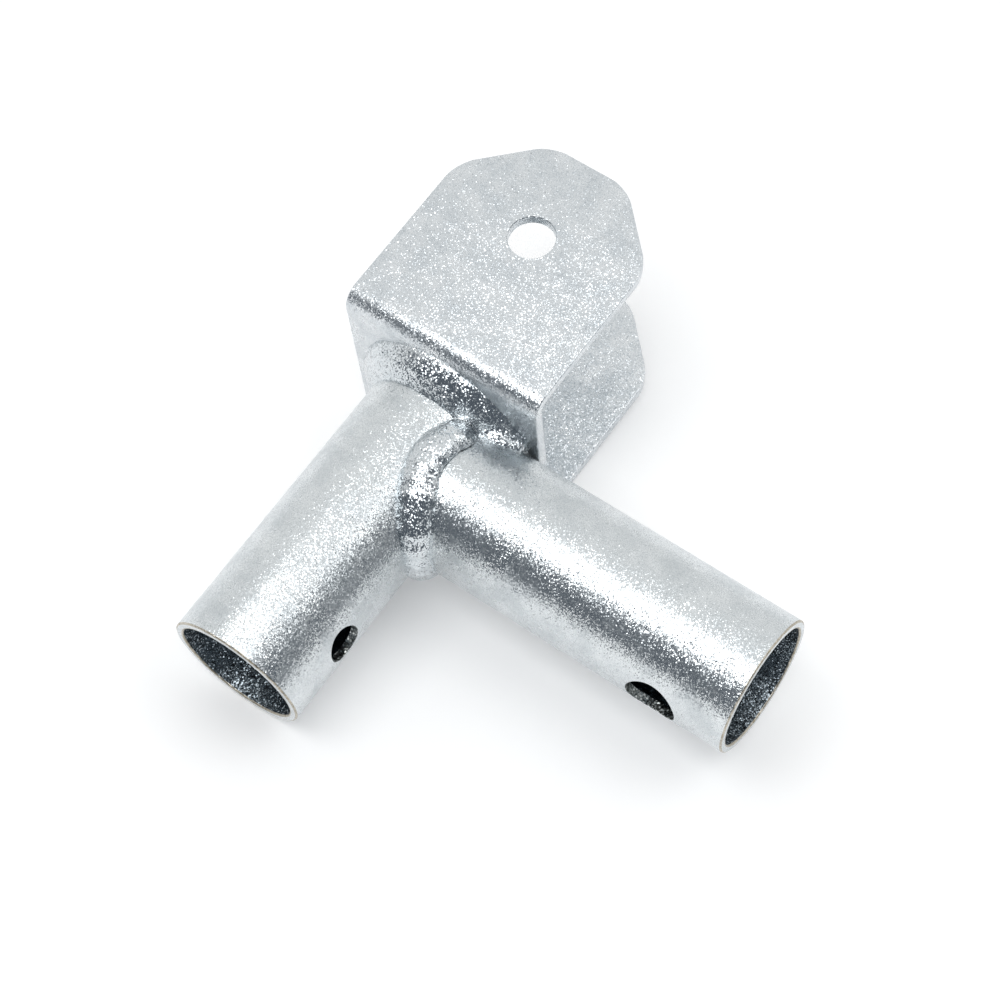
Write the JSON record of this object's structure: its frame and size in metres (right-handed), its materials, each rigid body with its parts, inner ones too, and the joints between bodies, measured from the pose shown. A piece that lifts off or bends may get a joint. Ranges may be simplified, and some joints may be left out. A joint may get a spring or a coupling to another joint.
{
  "type": "trampoline frame corner socket",
  "caption": "Welded zinc-plated corner socket for a trampoline frame: two blind tube sockets at a right angle and a folded fork with a pin hole.",
  "frame": {"origin": "crossing of the axes of the two tube sockets", "axes": "-Y out of the main socket's mouth, +X out of the side socket's mouth, +Z along the fork's pin hole"},
  "size_m": [0.094, 0.105, 0.04],
  "materials": {
    "zinc_tube": "zinc plated, fine grain",
    "zinc_sheet": "zinc plated, fine grain",
    "plated_weld": "zinc plated weld bead"
  },
  "bodies": {
    "root": {"main_tube": "zinc_tube", "side_tube": "zinc_tube", "fork_bracket": "zinc_sheet", "ring_weld": "plated_weld", "seat_weld": "plated_weld", "saddle_weld": "plated_weld"}
  },
  "joints": []
}
